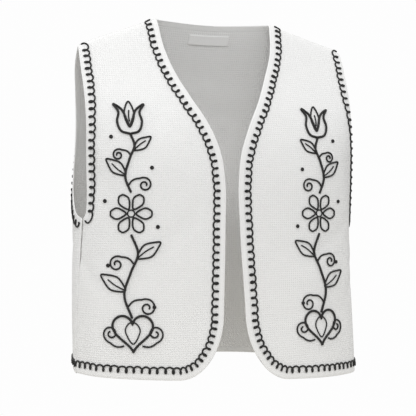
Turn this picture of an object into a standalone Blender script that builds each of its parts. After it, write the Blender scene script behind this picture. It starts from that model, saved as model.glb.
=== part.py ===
"""A sleeveless open-front folk vest, filled out as it is worn, in metres with +Z up.

The origin is on the centre line at the height of the neck points, between the two shoulders that hold the
vest up. The fronts face -Y and the back faces +Y. Each cloth piece is a wall whose outer face lies on one
torso form. A place on the form is (turn, z): turn is 0 at centre front or centre back and -1 or +1 at the
side seams, and z is the height.
"""

import math
from typing import NamedTuple

import bpy
import numpy as np

# Cloth and seams
CLOTH = 0.0018
SEAM_GAP = 0.0003
LABEL_CLOTH = 0.0010

# Shoulders and neck
NECK_HALF_WIDTH = 0.0860
TIP_HALF_WIDTH = 0.2000
SHOULDER_FALL = 0.0398
SHOULDER_FALL_SKEW = -0.0038
TIP_ROUNDING_START = 0.1850
TIP_ROUNDING_FALL = 0.0040
RIDGE_RADIUS = 0.0040
CHEST_SLOPE = 0.47
BACK_SLOPE = 0.56
BACK_NECK_DROP = 0.0020
NECK_SMOOTHING = 0.0250

# Torso form
BLEND_POWER = 5.0

# Hem
HEM_CENTRE = -0.5100
HEM_TILT = -0.0350
BACK_HEM_LIFT = 0.0090
CORNER_WIDTH = 0.0610
CORNER_HEIGHT = 0.0850

# Side seams and armholes
UNDERARM_LEFT = -0.2885
UNDERARM_RIGHT = -0.2925

# Neck label
LABEL_HALF_WIDTH = 0.0310
LABEL_TOP = -0.0150
LABEL_BOTTOM = -0.0285

# Grid of each panel
FRONT_COLUMNS = 14
FRONT_ROWS = 38
BACK_COLUMNS = 28
BACK_ROWS = 36
LABEL_COLUMNS = 10
LABEL_ROWS = 3
TOP_CROWDING = 1.5
EDGE_STEPS = 400

# Small steps along the form, to find its slope
TURN_STEP = 1.0e-4
HEIGHT_STEP = 2.0e-6

LEFT = -1
RIGHT = 1
FRONT = -1
BACK = 1


class Section(NamedTuple):
    """One level of the torso form. Its centre is where the form is widest."""

    z: float
    half_width: float
    front: float
    back: float
    centre_x: float
    centre_y: float
    square: float


SECTIONS = (
    Section(z=-0.540, half_width=0.2100, front=0.097, back=0.114, centre_x=0.004, centre_y=-0.009, square=2.3),
    Section(z=-0.420, half_width=0.2085, front=0.090, back=0.116, centre_x=0.000, centre_y=-0.011, square=2.4),
    Section(z=-0.300, half_width=0.2065, front=0.088, back=0.113, centre_x=-0.001, centre_y=-0.010, square=2.5),
    Section(z=-0.200, half_width=0.2065, front=0.093, back=0.110, centre_x=0.000, centre_y=-0.004, square=2.8),
    Section(z=-0.100, half_width=0.2075, front=0.098, back=0.103, centre_x=0.000, centre_y=0.003, square=3.0),
    Section(z=0.060, half_width=0.2080, front=0.098, back=0.100, centre_x=0.000, centre_y=0.006, square=3.0),
)


class EdgePoint(NamedTuple):
    """One level of the open front edge and the neckline, as a distance from the centre line."""

    z: float
    left: float
    right: float


FRONT_EDGE = (
    EdgePoint(z=-0.530, left=0.0180, right=0.0200),
    EdgePoint(z=-0.420, left=0.0145, right=0.0165),
    EdgePoint(z=-0.300, left=0.0110, right=0.0095),
    EdgePoint(z=-0.240, left=0.0105, right=0.0085),
    EdgePoint(z=-0.200, left=0.0155, right=0.0135),
    EdgePoint(z=-0.160, left=0.0300, right=0.0280),
    EdgePoint(z=-0.120, left=0.0520, right=0.0480),
    EdgePoint(z=-0.090, left=0.0670, right=0.0610),
    EdgePoint(z=-0.050, left=0.0800, right=0.0770),
    EdgePoint(z=0.000, left=0.0860, right=0.0860),
)


class ArmholePoint(NamedTuple):
    """One point of the armholes: its share of the way up from the underarm, and each panel's turn there."""

    rise: float
    left_front: float
    left_back: float
    right_front: float
    right_back: float


ARMHOLE = (
    ArmholePoint(rise=0.000, left_front=0.770, left_back=1.230, right_front=1.030, right_back=0.970),
    ArmholePoint(rise=0.018, left_front=0.742, left_back=1.140, right_front=0.960, right_back=0.925),
    ArmholePoint(rise=0.055, left_front=0.727, left_back=1.035, right_front=0.920, right_back=0.885),
    ArmholePoint(rise=0.100, left_front=0.719, left_back=0.960, right_front=0.895, right_back=0.857),
    ArmholePoint(rise=0.200, left_front=0.708, left_back=0.850, right_front=0.850, right_back=0.807),
    ArmholePoint(rise=0.350, left_front=0.697, left_back=0.755, right_front=0.795, right_back=0.750),
    ArmholePoint(rise=0.560, left_front=0.685, left_back=0.700, right_front=0.735, right_back=0.700),
    ArmholePoint(rise=0.770, left_front=0.695, left_back=0.730, right_front=0.715, right_back=0.730),
    ArmholePoint(rise=0.920, left_front=0.722, left_back=0.790, right_front=0.735, right_back=0.780),
    ArmholePoint(rise=1.000, left_front=0.735, left_back=0.790, right_front=0.745, right_back=0.780),
)
SEAM_TURN_AT_HEM = {-1: 0.910, 1: 1.000}


class Fold(NamedTuple):
    """A soft trough (negative depth) or ridge across a panel, from one place on the form to another."""

    face: int
    turn_a: float
    z_a: float
    turn_b: float
    z_b: float
    width: float
    depth: float


FOLDS = (
    Fold(face=FRONT, turn_a=0.66, z_a=-0.225, turn_b=0.80, z_b=-0.300, width=0.017, depth=-0.0030),
    Fold(face=FRONT, turn_a=0.74, z_a=-0.330, turn_b=0.88, z_b=-0.430, width=0.020, depth=-0.0022),
    Fold(face=FRONT, turn_a=-0.64, z_a=-0.240, turn_b=-0.80, z_b=-0.310, width=0.018, depth=-0.0024),
    Fold(face=FRONT, turn_a=-0.70, z_a=-0.350, turn_b=-0.76, z_b=-0.480, width=0.024, depth=-0.0020),
    Fold(face=FRONT, turn_a=0.34, z_a=-0.380, turn_b=0.38, z_b=-0.520, width=0.026, depth=0.0018),
    Fold(face=BACK, turn_a=-0.60, z_a=-0.230, turn_b=-0.34, z_b=-0.330, width=0.022, depth=-0.0030),
    Fold(face=BACK, turn_a=0.62, z_a=-0.250, turn_b=0.40, z_b=-0.360, width=0.020, depth=-0.0026),
    Fold(face=BACK, turn_a=-0.24, z_a=-0.300, turn_b=-0.28, z_b=-0.515, width=0.030, depth=-0.0030),
    Fold(face=BACK, turn_a=0.16, z_a=-0.340, turn_b=0.22, z_b=-0.515, width=0.028, depth=0.0026),
    Fold(face=BACK, turn_a=0.52, z_a=-0.400, turn_b=0.56, z_b=-0.515, width=0.024, depth=-0.0024),
    Fold(face=BACK, turn_a=-0.60, z_a=-0.420, turn_b=-0.62, z_b=-0.515, width=0.026, depth=0.0020),
)
FOLD_QUARTER_GIRTH = 0.2600
FOLD_END_FADE = 0.0300


def smooth_column(table, key, value, column):
    """The named column of a table at `value` of its key column, on a smooth curve through the rows."""
    keys = np.array([getattr(row, key) for row in table])
    values = np.array([getattr(row, column) for row in table])
    slopes = np.gradient(values, keys)
    at = np.clip(value, keys[0], keys[-1])
    row = np.clip(np.searchsorted(keys, at, side="right") - 1, 0, len(keys) - 2)
    step = keys[row + 1] - keys[row]
    t = (at - keys[row]) / step
    start = (1 + 2 * t) * (1 - t) ** 2 * values[row] + t * (1 - t) ** 2 * step * slopes[row]
    end = t**2 * (3 - 2 * t) * values[row + 1] + t**2 * (t - 1) * step * slopes[row + 1]
    return start + end


def section(z, column):
    """The named size of the torso form at height z."""
    return smooth_column(SECTIONS, "z", z, column)


def shoulder_height(x):
    """Height of the shoulder line over x, carried on upwards over the neck."""
    from_centre = np.sqrt(x**2 + NECK_SMOOTHING**2) - (
        math.hypot(NECK_HALF_WIDTH, NECK_SMOOTHING) - NECK_HALF_WIDTH
    )
    fall = SHOULDER_FALL + SHOULDER_FALL_SKEW * x / TIP_HALF_WIDTH
    slope = fall / (TIP_HALF_WIDTH - NECK_HALF_WIDTH)
    past = np.maximum(from_centre - TIP_ROUNDING_START, 0.0) / (TIP_HALF_WIDTH - TIP_ROUNDING_START)
    return slope * (NECK_HALF_WIDTH - from_centre) - TIP_ROUNDING_FALL * past**2


def turn_at(x, z):
    """The turn at which the form's section at height z passes over x."""
    share = (x - section(z, "centre_x")) / section(z, "half_width")
    share = np.clip(share, -0.999999, 0.999999)
    size = np.maximum(np.abs(share), 1e-9)
    square = section(z, "square")
    angle = np.arctan((size**-square - 1) ** (-1 / square))
    return np.sign(share) * angle / (math.pi / 2)


def fold_height(face, turn, z):
    """How far the folds of one face push its cloth out at a place."""
    height = np.zeros_like(turn * z)
    across = turn * FOLD_QUARTER_GIRTH
    for fold in FOLDS:
        if fold.face != face:
            continue
        start = np.array([fold.turn_a * FOLD_QUARTER_GIRTH, fold.z_a])
        run = np.array([fold.turn_b * FOLD_QUARTER_GIRTH, fold.z_b]) - start
        length = math.hypot(*run)
        along = ((across - start[0]) * run[0] + (z - start[1]) * run[1]) / length
        aside = ((across - start[0]) * run[1] - (z - start[1]) * run[0]) / length
        past = np.maximum(np.maximum(-along, along - length), 0.0)
        height = height + fold.depth * np.exp(-((aside / fold.width) ** 2) - (past / FOLD_END_FADE) ** 2)
    return height


def form_point(face, turn, z):
    """The point of the smooth torso form at (turn, z), with no folds. Past a turn of 1 it is on the other face."""
    past_side = np.abs(turn) > 1
    turn = np.where(past_side, np.sign(turn) * 2 - turn, turn)
    face = np.where(past_side, -face, face)
    angle = turn * math.pi / 2
    sine = np.sin(angle)
    cosine = np.abs(np.cos(angle))
    square = section(z, "square")
    reach = (np.abs(sine) ** square + cosine**square) ** (-1 / square)
    x = section(z, "centre_x") + section(z, "half_width") * sine * reach
    body = np.where(face == FRONT, section(z, "front"), section(z, "back")) * cosine * reach
    below = np.maximum(shoulder_height(x) - z, 0.0)
    slope = np.where(face == FRONT, CHEST_SLOPE, BACK_SLOPE)
    chest = np.sqrt((slope * below) ** 2 + 2 * RIDGE_RADIUS * below)
    depth = (np.maximum(body, 1e-7) ** -BLEND_POWER + np.maximum(chest, 1e-7) ** -BLEND_POWER) ** (
        -1 / BLEND_POWER
    )
    y = section(z, "centre_y") + face * depth
    return np.stack([x, y, z + 0.0 * x], axis=-1)


def unit(vectors):
    return vectors / np.linalg.norm(vectors, axis=-1, keepdims=True)


def form_normal(face, turn, z):
    """The outward direction of the form at (turn, z)."""
    along_turn = form_point(face, turn + TURN_STEP, z) - form_point(face, turn - TURN_STEP, z)
    along_z = form_point(face, turn, z + HEIGHT_STEP) - form_point(face, turn, z - HEIGHT_STEP)
    return unit(np.cross(along_turn, along_z) * -face)


def hem_height(face, turn, x):
    """Height of the hem: it tilts a little across the vest, and the back rises at its middle."""
    lift = BACK_HEM_LIFT * np.cos(turn * math.pi / 2) if face == BACK else 0.0
    return HEM_CENTRE + HEM_TILT * x + lift


def underarm(side):
    return UNDERARM_LEFT if side == LEFT else UNDERARM_RIGHT


def side_name(side):
    return "left" if side == LEFT else "right"


def cut_back(face, edge, side):
    """A side seam's edge moved half a seam gap into its own panel."""
    ahead = form_point(face, edge[:, 0] + TURN_STEP, edge[:, 1])
    stretch = np.linalg.norm(ahead - form_point(face, edge[:, 0], edge[:, 1]), axis=1) / TURN_STEP
    return np.stack([edge[:, 0] - side * SEAM_GAP / 2 / stretch, edge[:, 1]], axis=-1)


def outer_edge(face, side):
    """Side seam and armhole of one side as (turn, z) rows, from the hem to the shoulder tip."""
    column = side_name(side) + ("_front" if face == FRONT else "_back")
    turn_low = SEAM_TURN_AT_HEM[side] if face == FRONT else 2 - SEAM_TURN_AT_HEM[side]
    turn_seam = side * np.linspace(turn_low, getattr(ARMHOLE[0], column), EDGE_STEPS)
    x_hem = form_point(face, turn_seam[0], HEM_CENTRE)[0]
    z_seam = np.linspace(hem_height(face, turn_seam[0], x_hem), underarm(side), EDGE_STEPS)
    seam = cut_back(face, np.stack([turn_seam, z_seam], axis=-1), side)
    tip_x = side * TIP_HALF_WIDTH
    tip_z = float(shoulder_height(np.array(tip_x)))
    rise = np.linspace(0.0, 1.0, EDGE_STEPS) ** 2
    z_arm = underarm(side) + rise * (tip_z - underarm(side))
    turn_arm = side * smooth_column(ARMHOLE, "rise", rise, column)
    start_shift = seam[-1, 0] - turn_arm[0]
    end_shift = float(turn_at(tip_x, tip_z)) - turn_arm[-1]
    turn_arm = turn_arm + start_shift * (1 - rise) ** 8 + end_shift * rise**4
    armhole = np.stack([turn_arm, z_arm], axis=-1)
    return np.concatenate([seam, armhole[1:]])


def shoulder_edge(side):
    """Shoulder seam of one side as (turn, z) rows, from the neck point to the tip."""
    x = side * np.linspace(NECK_HALF_WIDTH, TIP_HALF_WIDTH, EDGE_STEPS)
    z = shoulder_height(x) - (SEAM_GAP / 2) ** 2 / (2 * RIDGE_RADIUS)
    return np.stack([turn_at(x, z), z], axis=-1)


def front_edge(side):
    """Front edge and neckline of one front as (turn, z) rows, from the hem to the neck point."""
    low = float(hem_height(FRONT, np.array(0.0), side * FRONT_EDGE[0].left))
    z = np.linspace(low, float(shoulder_edge(side)[0, 1]), EDGE_STEPS)
    x = side * smooth_column(FRONT_EDGE, "z", z, side_name(side))
    return np.stack([turn_at(x, z), z], axis=-1)


def hem_edge(face, turn_from, turn_to):
    """Hem of one face as (turn, z) rows between two turns."""
    turn = np.linspace(turn_from, turn_to, EDGE_STEPS)
    x = form_point(face, turn, np.full_like(turn, HEM_CENTRE))[:, 0]
    return np.stack([turn, hem_height(face, turn, x)], axis=-1)


def spaced(face, edge, shares):
    """Points of an edge at the given shares of its length."""
    points = form_point(face, edge[:, 0], edge[:, 1])
    steps = np.linalg.norm(np.diff(points, axis=0), axis=1)
    length = np.concatenate([[0.0], np.cumsum(steps)])
    at = np.asarray(shares) * length[-1]
    return np.stack([np.interp(at, length, edge[:, 0]), np.interp(at, length, edge[:, 1])], axis=-1)


def patch(bottom, top, start, end, across, up):
    """A grid of (turn, z) places that fills four edges: across the patch and up it."""
    s = across[None, :, None]
    t = up[:, None, None]
    ruled = (1 - t) * bottom[None] + t * top[None] + (1 - s) * start[:, None] + s * end[:, None]
    corners = (1 - s) * (1 - t) * start[0] + s * (1 - t) * end[0] + (1 - s) * t * start[-1] + s * t * end[-1]
    return ruled - corners


def round_corner(side, grid):
    """The square lower front corner of a front's grid, drawn in to an elliptical one."""
    turn = grid[..., 0]
    z = grid[..., 1]
    x = form_point(FRONT, turn, z)[..., 0]
    edge = smooth_column(FRONT_EDGE, "z", z, side_name(side))
    hem = hem_height(FRONT, turn, x)
    inward = np.clip(1 - (side * x - edge) / CORNER_WIDTH, 0.0, 1.0)
    downward = np.clip(1 - (z - hem) / CORNER_HEIGHT, 0.0, 1.0)
    x = x + side * CORNER_WIDTH * inward * (1 - np.sqrt(1 - downward**2 / 2))
    z = z + CORNER_HEIGHT * downward * (1 - np.sqrt(1 - inward**2 / 2))
    near = (inward > 0) & (downward > 0)
    turn = np.where(near, turn_at(x, z), turn)
    return np.stack([turn, z], axis=-1)


def rows_up(count):
    """Shares up a panel, closer together near the shoulder."""
    return 1 - (1 - np.linspace(0.0, 1.0, count + 1)) ** TOP_CROWDING


def front_grid(side):
    """The (turn, z) grid of one front, columns from the front edge to the side."""
    across = np.linspace(0.0, 1.0, FRONT_COLUMNS + 1)
    up = rows_up(FRONT_ROWS)
    inner = spaced(FRONT, front_edge(side), up)
    outer = spaced(FRONT, outer_edge(FRONT, side), up)
    bottom = spaced(FRONT, hem_edge(FRONT, inner[0, 0], outer[0, 0]), across)
    top = spaced(FRONT, shoulder_edge(side), across)
    inner[0] = bottom[0]
    outer[0] = bottom[-1]
    inner[-1] = top[0]
    outer[-1] = top[-1]
    return round_corner(side, patch(bottom, top, inner, outer, across, up))


def back_grid():
    """The (turn, z) grid of the back, columns from the left side to the right."""
    across = np.linspace(0.0, 1.0, BACK_COLUMNS + 1)
    up = rows_up(BACK_ROWS)
    left = spaced(BACK, outer_edge(BACK, LEFT), up)
    right = spaced(BACK, outer_edge(BACK, RIGHT), up)
    bottom = spaced(BACK, hem_edge(BACK, left[0, 0], right[0, 0]), across)
    neck_x = np.linspace(-NECK_HALF_WIDTH, NECK_HALF_WIDTH, EDGE_STEPS)
    neck_z = shoulder_edge(RIGHT)[0, 1] - BACK_NECK_DROP * np.cos(neck_x / NECK_HALF_WIDTH * math.pi / 2)
    neck = np.stack([turn_at(neck_x, neck_z), neck_z], axis=-1)
    top_edge = np.concatenate([shoulder_edge(LEFT)[::-1], neck[1:], shoulder_edge(RIGHT)[1:]])
    top = spaced(BACK, top_edge, across)
    left[0] = bottom[0]
    right[0] = bottom[-1]
    left[-1] = top[0]
    right[-1] = top[-1]
    return patch(bottom, top, left, right, across, up)


def label_grid():
    """The (turn, z) grid of the neck label."""
    x, z = np.meshgrid(
        np.linspace(-LABEL_HALF_WIDTH, LABEL_HALF_WIDTH, LABEL_COLUMNS + 1),
        np.linspace(LABEL_BOTTOM, LABEL_TOP, LABEL_ROWS + 1),
    )
    return np.stack([turn_at(x, z), z], axis=-1)


def wall_directions(face, grid):
    """Outward directions over a grid. At a shoulder seam they have no share along Y, so both walls meet square."""
    turn = grid[..., 0]
    z = grid[..., 1]
    below = shoulder_height(form_point(face, turn, z)[..., 0]) - z
    at_shoulder = below < 4 * HEIGHT_STEP
    directions = form_normal(face, turn, np.where(at_shoulder, z - 4 * HEIGHT_STEP, z))
    square_up = unit(directions * np.array([1.0, 0.0, 1.0]))
    return np.where(at_shoulder[..., None], square_up, directions)


def wall_points(face, grid, depth):
    """Points of a panel's grid, `depth` inside the folded form."""
    turn = grid[..., 0]
    z = grid[..., 1]
    lift = fold_height(face, turn, z) - depth
    return form_point(face, turn, z) + wall_directions(face, grid) * lift[..., None]


def wall_mesh(name, outer, inner, outward):
    """A closed wall between two grids of points. Each cell is cut along its shorter diagonal on both sides."""
    rows, columns = outer.shape[:2]
    count = rows * columns
    points = np.concatenate([outer.reshape(-1, 3), inner.reshape(-1, 3)])
    faces = []

    def quad(a, b, c, d, turned=False):
        faces.extend([(a, b, d), (b, c, d)] if turned else [(a, b, c), (a, c, d)])

    for row in range(rows - 1):
        for column in range(columns - 1):
            a = row * columns + column
            b = a + 1
            c = b + columns
            d = a + columns
            turned = np.linalg.norm(points[a] - points[c]) > np.linalg.norm(points[b] - points[d])
            quad(a, b, c, d, turned)
            quad(a + count, d + count, c + count, b + count, turned)
    rim = [column for column in range(columns)]
    rim += [row * columns + columns - 1 for row in range(1, rows)]
    rim += [(rows - 1) * columns + column for column in range(columns - 2, -1, -1)]
    rim += [row * columns for row in range(rows - 2, 0, -1)]
    for here, following in zip(rim, rim[1:] + rim[:1]):
        quad(following, here, here + count, following + count)
    if not outward:
        faces = [face[::-1] for face in faces]
    mesh = bpy.data.meshes.new(name)
    mesh.from_pydata(points.tolist(), [], faces)
    mesh.update()
    return mesh


def material(name, colour, roughness):
    """A plain cloth finish."""
    made = bpy.data.materials.new(name)
    made.use_nodes = True
    shader = made.node_tree.nodes["Principled BSDF"]
    shader.inputs["Base Color"].default_value = (*colour, 1.0)
    shader.inputs["Roughness"].default_value = roughness
    shader.inputs["Metallic"].default_value = 0.0
    return made


def add_piece(name, mesh, finish, parent):
    """One cloth piece in the scene, smooth over its faces and sharp at its cut edges."""
    piece = bpy.data.objects.new(name, mesh)
    bpy.context.scene.collection.objects.link(piece)
    mesh.materials.append(finish)
    mesh.shade_smooth()
    mesh.set_sharp_from_angle(angle=math.radians(50))
    piece.parent = parent
    return piece


def add_panel(name, face, grid, outward, finish, parent):
    """A garment panel: a wall of cloth whose outer face is on the form."""
    outer = wall_points(face, grid, 0.0)
    inner = wall_points(face, grid, CLOTH)
    return add_piece(name, wall_mesh(name, outer, inner, outward), finish, parent)


def add_label(finish, parent):
    """The blank label, lying on the inside of the back just under the neck edge."""
    grid = label_grid()
    behind = wall_points(BACK, grid, CLOTH + SEAM_GAP)
    shown = wall_points(BACK, grid, CLOTH + SEAM_GAP + LABEL_CLOTH)
    return add_piece("neck_label", wall_mesh("neck_label", behind, shown, False), finish, parent)


def build():
    for leftover in list(bpy.data.objects):
        bpy.data.objects.remove(leftover, do_unlink=True)
    vest = bpy.data.objects.new("vest", None)
    bpy.context.scene.collection.objects.link(vest)
    cloth = material("white pique cotton", (0.83, 0.83, 0.81), 0.85)
    woven = material("white label tape", (0.80, 0.80, 0.80), 0.60)
    add_panel("front_left", FRONT, front_grid(LEFT), False, cloth, vest)
    add_panel("front_right", FRONT, front_grid(RIGHT), True, cloth, vest)
    add_panel("back", BACK, back_grid(), False, cloth, vest)
    add_label(woven, vest)


build()
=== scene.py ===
"""A sleeveless open-front folk vest in white pique cotton, worked with raised black cord.

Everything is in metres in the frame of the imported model: +Z up, the open front faces -Y, and the origin is on
the centre line at the height of the neck points. A place on the vest is (turn, z): turn is 0 at centre front or
centre back and -1 or +1 at the side seams, and z is the height.
"""

import logging
import math
from dataclasses import dataclass, field
from enum import Enum, IntEnum
from functools import cached_property

import bpy
import numpy as np
from numpy.typing import NDArray
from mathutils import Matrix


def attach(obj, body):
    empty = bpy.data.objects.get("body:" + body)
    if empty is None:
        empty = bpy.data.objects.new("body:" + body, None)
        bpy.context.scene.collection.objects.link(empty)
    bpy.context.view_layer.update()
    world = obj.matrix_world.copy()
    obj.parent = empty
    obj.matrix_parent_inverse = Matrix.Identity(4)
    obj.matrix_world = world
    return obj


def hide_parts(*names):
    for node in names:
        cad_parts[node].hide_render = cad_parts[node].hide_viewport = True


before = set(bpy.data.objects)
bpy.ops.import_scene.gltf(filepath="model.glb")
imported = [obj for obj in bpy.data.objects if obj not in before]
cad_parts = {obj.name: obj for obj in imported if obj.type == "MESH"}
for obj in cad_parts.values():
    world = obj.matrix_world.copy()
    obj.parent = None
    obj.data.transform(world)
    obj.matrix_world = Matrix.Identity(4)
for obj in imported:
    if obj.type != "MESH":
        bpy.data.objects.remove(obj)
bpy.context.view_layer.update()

LOG = logging.getLogger("vest")
Array = NDArray[np.float64]

TURN_STEP = 1.0e-4
HEIGHT_STEP = 2.0e-6


class Side(IntEnum):
    """The vest's two sides, by the sign of X."""

    LEFT = -1
    RIGHT = 1

    @property
    def word(self) -> str:
        """The side's name as the pieces use it."""
        return self.name.lower()


class Face(IntEnum):
    """The vest's front and back, by the sign of Y."""

    FRONT = -1
    BACK = 1


class CordWeight(Enum):
    """Radii of the cords that the embroidery uses."""

    BOLD = 0.00168
    EDGE = 0.00124
    FINE = 0.00098


def unit(vectors: Array) -> Array:
    """Vectors at length one."""
    return vectors / np.maximum(np.linalg.norm(vectors, axis=-1, keepdims=True), 1e-12)


def lengths_along(points: Array) -> Array:
    """Distance walked to each point of a line."""
    return np.concatenate([[0.0], np.cumsum(np.linalg.norm(np.diff(points, axis=0), axis=1))])


def smooth_column(rows: tuple, key: str, at: Array | float, column: str) -> Array:
    """Reads one column of a table on a smooth curve through its rows.

    Args:
        rows: the table, its key column rising.
        key: the name of the key column.
        at: where to read.
        column: the name of the column to read.

    Returns:
        The column's value at each place of `at`.
    """
    keys = np.array([getattr(row, key) for row in rows])
    values = np.array([getattr(row, column) for row in rows])
    slopes = np.gradient(values, keys)
    at = np.clip(at, keys[0], keys[-1])
    row = np.clip(np.searchsorted(keys, at, side="right") - 1, 0, len(keys) - 2)
    step = keys[row + 1] - keys[row]
    t = (at - keys[row]) / step
    start = (1 + 2 * t) * (1 - t) ** 2 * values[row] + t * (1 - t) ** 2 * step * slopes[row]
    end = t**2 * (3 - 2 * t) * values[row + 1] + t**2 * (t - 1) * step * slopes[row + 1]
    return start + end


@dataclass(frozen=True)
class Section:
    """One level of the torso form."""

    z: float
    half_width: float
    front: float
    back: float
    centre_x: float
    centre_y: float
    square: float


@dataclass(frozen=True)
class Crease:
    """A soft trough (negative depth) or ridge in the cloth from one place on the form to another."""

    face: Face
    turn_a: float
    z_a: float
    turn_b: float
    z_b: float
    width: float
    depth: float


@dataclass(frozen=True)
class EdgeLevel:
    """One level of the open front edge and neckline: distance of each front from the centre line."""

    z: float
    left: float
    right: float


@dataclass(frozen=True)
class ArmholeLevel:
    """One point of the armholes, by its share of the way up, with each panel's turn there."""

    rise: float
    left_front: float
    left_back: float
    right_front: float
    right_back: float


@dataclass(frozen=True)
class TorsoForm:
    """The filled-out body that the cloth lies on, with the cloth's own folds."""

    sections: tuple[Section, ...] = (
        Section(-0.540, 0.2100, 0.097, 0.114, 0.004, -0.009, 2.3),
        Section(-0.420, 0.2085, 0.090, 0.116, 0.000, -0.011, 2.4),
        Section(-0.300, 0.2065, 0.088, 0.113, -0.001, -0.010, 2.5),
        Section(-0.200, 0.2065, 0.093, 0.110, 0.000, -0.004, 2.8),
        Section(-0.100, 0.2075, 0.098, 0.103, 0.000, 0.003, 3.0),
        Section(0.060, 0.2080, 0.098, 0.100, 0.000, 0.006, 3.0),
    )
    main_folds: tuple[Crease, ...] = (
        Crease(Face.FRONT, 0.66, -0.225, 0.80, -0.300, 0.017, -0.0030),
        Crease(Face.FRONT, 0.74, -0.330, 0.88, -0.430, 0.020, -0.0022),
        Crease(Face.FRONT, -0.64, -0.240, -0.80, -0.310, 0.018, -0.0024),
        Crease(Face.FRONT, -0.70, -0.350, -0.76, -0.480, 0.024, -0.0020),
        Crease(Face.FRONT, 0.34, -0.380, 0.38, -0.520, 0.026, 0.0018),
        Crease(Face.BACK, -0.60, -0.230, -0.34, -0.330, 0.022, -0.0030),
        Crease(Face.BACK, 0.62, -0.250, 0.40, -0.360, 0.020, -0.0026),
        Crease(Face.BACK, -0.24, -0.300, -0.28, -0.515, 0.030, -0.0030),
        Crease(Face.BACK, 0.16, -0.340, 0.22, -0.515, 0.028, 0.0026),
        Crease(Face.BACK, 0.52, -0.400, 0.56, -0.515, 0.024, -0.0024),
        Crease(Face.BACK, -0.60, -0.420, -0.62, -0.515, 0.026, 0.0020),
    )
    fine_creases: tuple[Crease, ...] = (
        Crease(Face.FRONT, -0.30, -0.150, -0.42, -0.215, 0.011, -0.0009),
        Crease(Face.FRONT, -0.58, -0.205, -0.44, -0.250, 0.010, 0.0008),
        Crease(Face.FRONT, -0.20, -0.300, -0.34, -0.345, 0.012, -0.0008),
        Crease(Face.FRONT, -0.86, -0.330, -0.66, -0.372, 0.009, -0.0012),
        Crease(Face.FRONT, -0.16, -0.420, -0.20, -0.505, 0.014, -0.0010),
        Crease(Face.FRONT, 0.26, -0.170, 0.40, -0.225, 0.012, -0.0009),
        Crease(Face.FRONT, 0.60, -0.300, 0.42, -0.335, 0.010, -0.0009),
        Crease(Face.FRONT, 0.92, -0.345, 0.72, -0.385, 0.009, -0.0012),
        Crease(Face.FRONT, 0.18, -0.330, 0.24, -0.430, 0.014, -0.0009),
        Crease(Face.FRONT, 0.56, -0.430, 0.60, -0.515, 0.015, -0.0010),
        Crease(Face.BACK, -0.30, -0.090, 0.24, -0.105, 0.016, -0.0010),
        Crease(Face.BACK, -0.52, -0.160, -0.22, -0.200, 0.012, -0.0010),
        Crease(Face.BACK, 0.50, -0.150, 0.24, -0.215, 0.013, 0.0009),
        Crease(Face.BACK, -0.88, -0.330, -0.60, -0.380, 0.010, -0.0012),
        Crease(Face.BACK, 0.86, -0.320, 0.62, -0.392, 0.010, -0.0011),
        Crease(Face.BACK, 0.02, -0.250, -0.06, -0.400, 0.015, -0.0010),
        Crease(Face.BACK, 0.36, -0.430, 0.38, -0.515, 0.015, 0.0009),
        Crease(Face.BACK, -0.44, -0.440, -0.42, -0.515, 0.014, -0.0010),
    )
    neck_half_width: float = 0.0860
    tip_half_width: float = 0.2000
    shoulder_fall: float = 0.0398
    shoulder_fall_skew: float = -0.0038
    tip_rounding_start: float = 0.1850
    tip_rounding_fall: float = 0.0040
    ridge_radius: float = 0.0040
    chest_slope: float = 0.47
    back_slope: float = 0.56
    neck_smoothing: float = 0.0250
    blend_power: float = 5.0
    quarter_girth: float = 0.2600
    crease_fade: float = 0.0300

    def level(self, z: Array | float, column: str) -> Array:
        """The named size of the form at height z."""
        return smooth_column(self.sections, "z", z, column)

    def shoulder_height(self, x: Array | float) -> Array:
        """Height of the shoulder line over x, carried on upwards over the neck.

        Args:
            x: where to read, across the vest.

        Returns:
            The heights.
        """
        from_centre = np.sqrt(np.asarray(x) ** 2 + self.neck_smoothing**2) - (
            math.hypot(self.neck_half_width, self.neck_smoothing) - self.neck_half_width
        )
        fall = self.shoulder_fall + self.shoulder_fall_skew * x / self.tip_half_width
        slope = fall / (self.tip_half_width - self.neck_half_width)
        past = np.maximum(from_centre - self.tip_rounding_start, 0.0) / (
            self.tip_half_width - self.tip_rounding_start
        )
        return slope * (self.neck_half_width - from_centre) - self.tip_rounding_fall * past**2

    def turn_at(self, x: Array | float, z: Array | float) -> Array:
        """The turn at which the form passes over x at height z.

        Args:
            x: the place across the vest.
            z: the height.

        Returns:
            The turns.
        """
        share = (x - self.level(z, "centre_x")) / self.level(z, "half_width")
        share = np.clip(share, -0.999999, 0.999999)
        size = np.maximum(np.abs(share), 1e-9)
        square = self.level(z, "square")
        angle = np.arctan((size**-square - 1) ** (-1 / square))
        return np.sign(share) * angle / (math.pi / 2)

    def point(self, face: Face, turn: Array | float, z: Array | float) -> Array:
        """Finds a point of the smooth form, without folds.

        Args:
            face: front or back.
            turn: the turn, which past 1 carries on round onto the other face.
            z: the height.

        Returns:
            The points, with X, Y and Z last.
        """
        turn = np.asarray(turn, dtype=float)
        past_side = np.abs(turn) > 1
        turn = np.where(past_side, np.sign(turn) * 2 - turn, turn)
        facing = np.where(past_side, -int(face), int(face))
        angle = turn * math.pi / 2
        sine = np.sin(angle)
        cosine = np.abs(np.cos(angle))
        square = self.level(z, "square")
        reach = (np.abs(sine) ** square + cosine**square) ** (-1 / square)
        x = self.level(z, "centre_x") + self.level(z, "half_width") * sine * reach
        body = np.where(facing < 0, self.level(z, "front"), self.level(z, "back")) * cosine * reach
        below = np.maximum(self.shoulder_height(x) - z, 0.0)
        slope = np.where(facing < 0, self.chest_slope, self.back_slope)
        chest = np.sqrt((slope * below) ** 2 + 2 * self.ridge_radius * below)
        power = self.blend_power
        depth = (np.maximum(body, 1e-7) ** -power + np.maximum(chest, 1e-7) ** -power) ** (-1 / power)
        return np.stack([x, self.level(z, "centre_y") + facing * depth, z + 0.0 * x], axis=-1)

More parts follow.
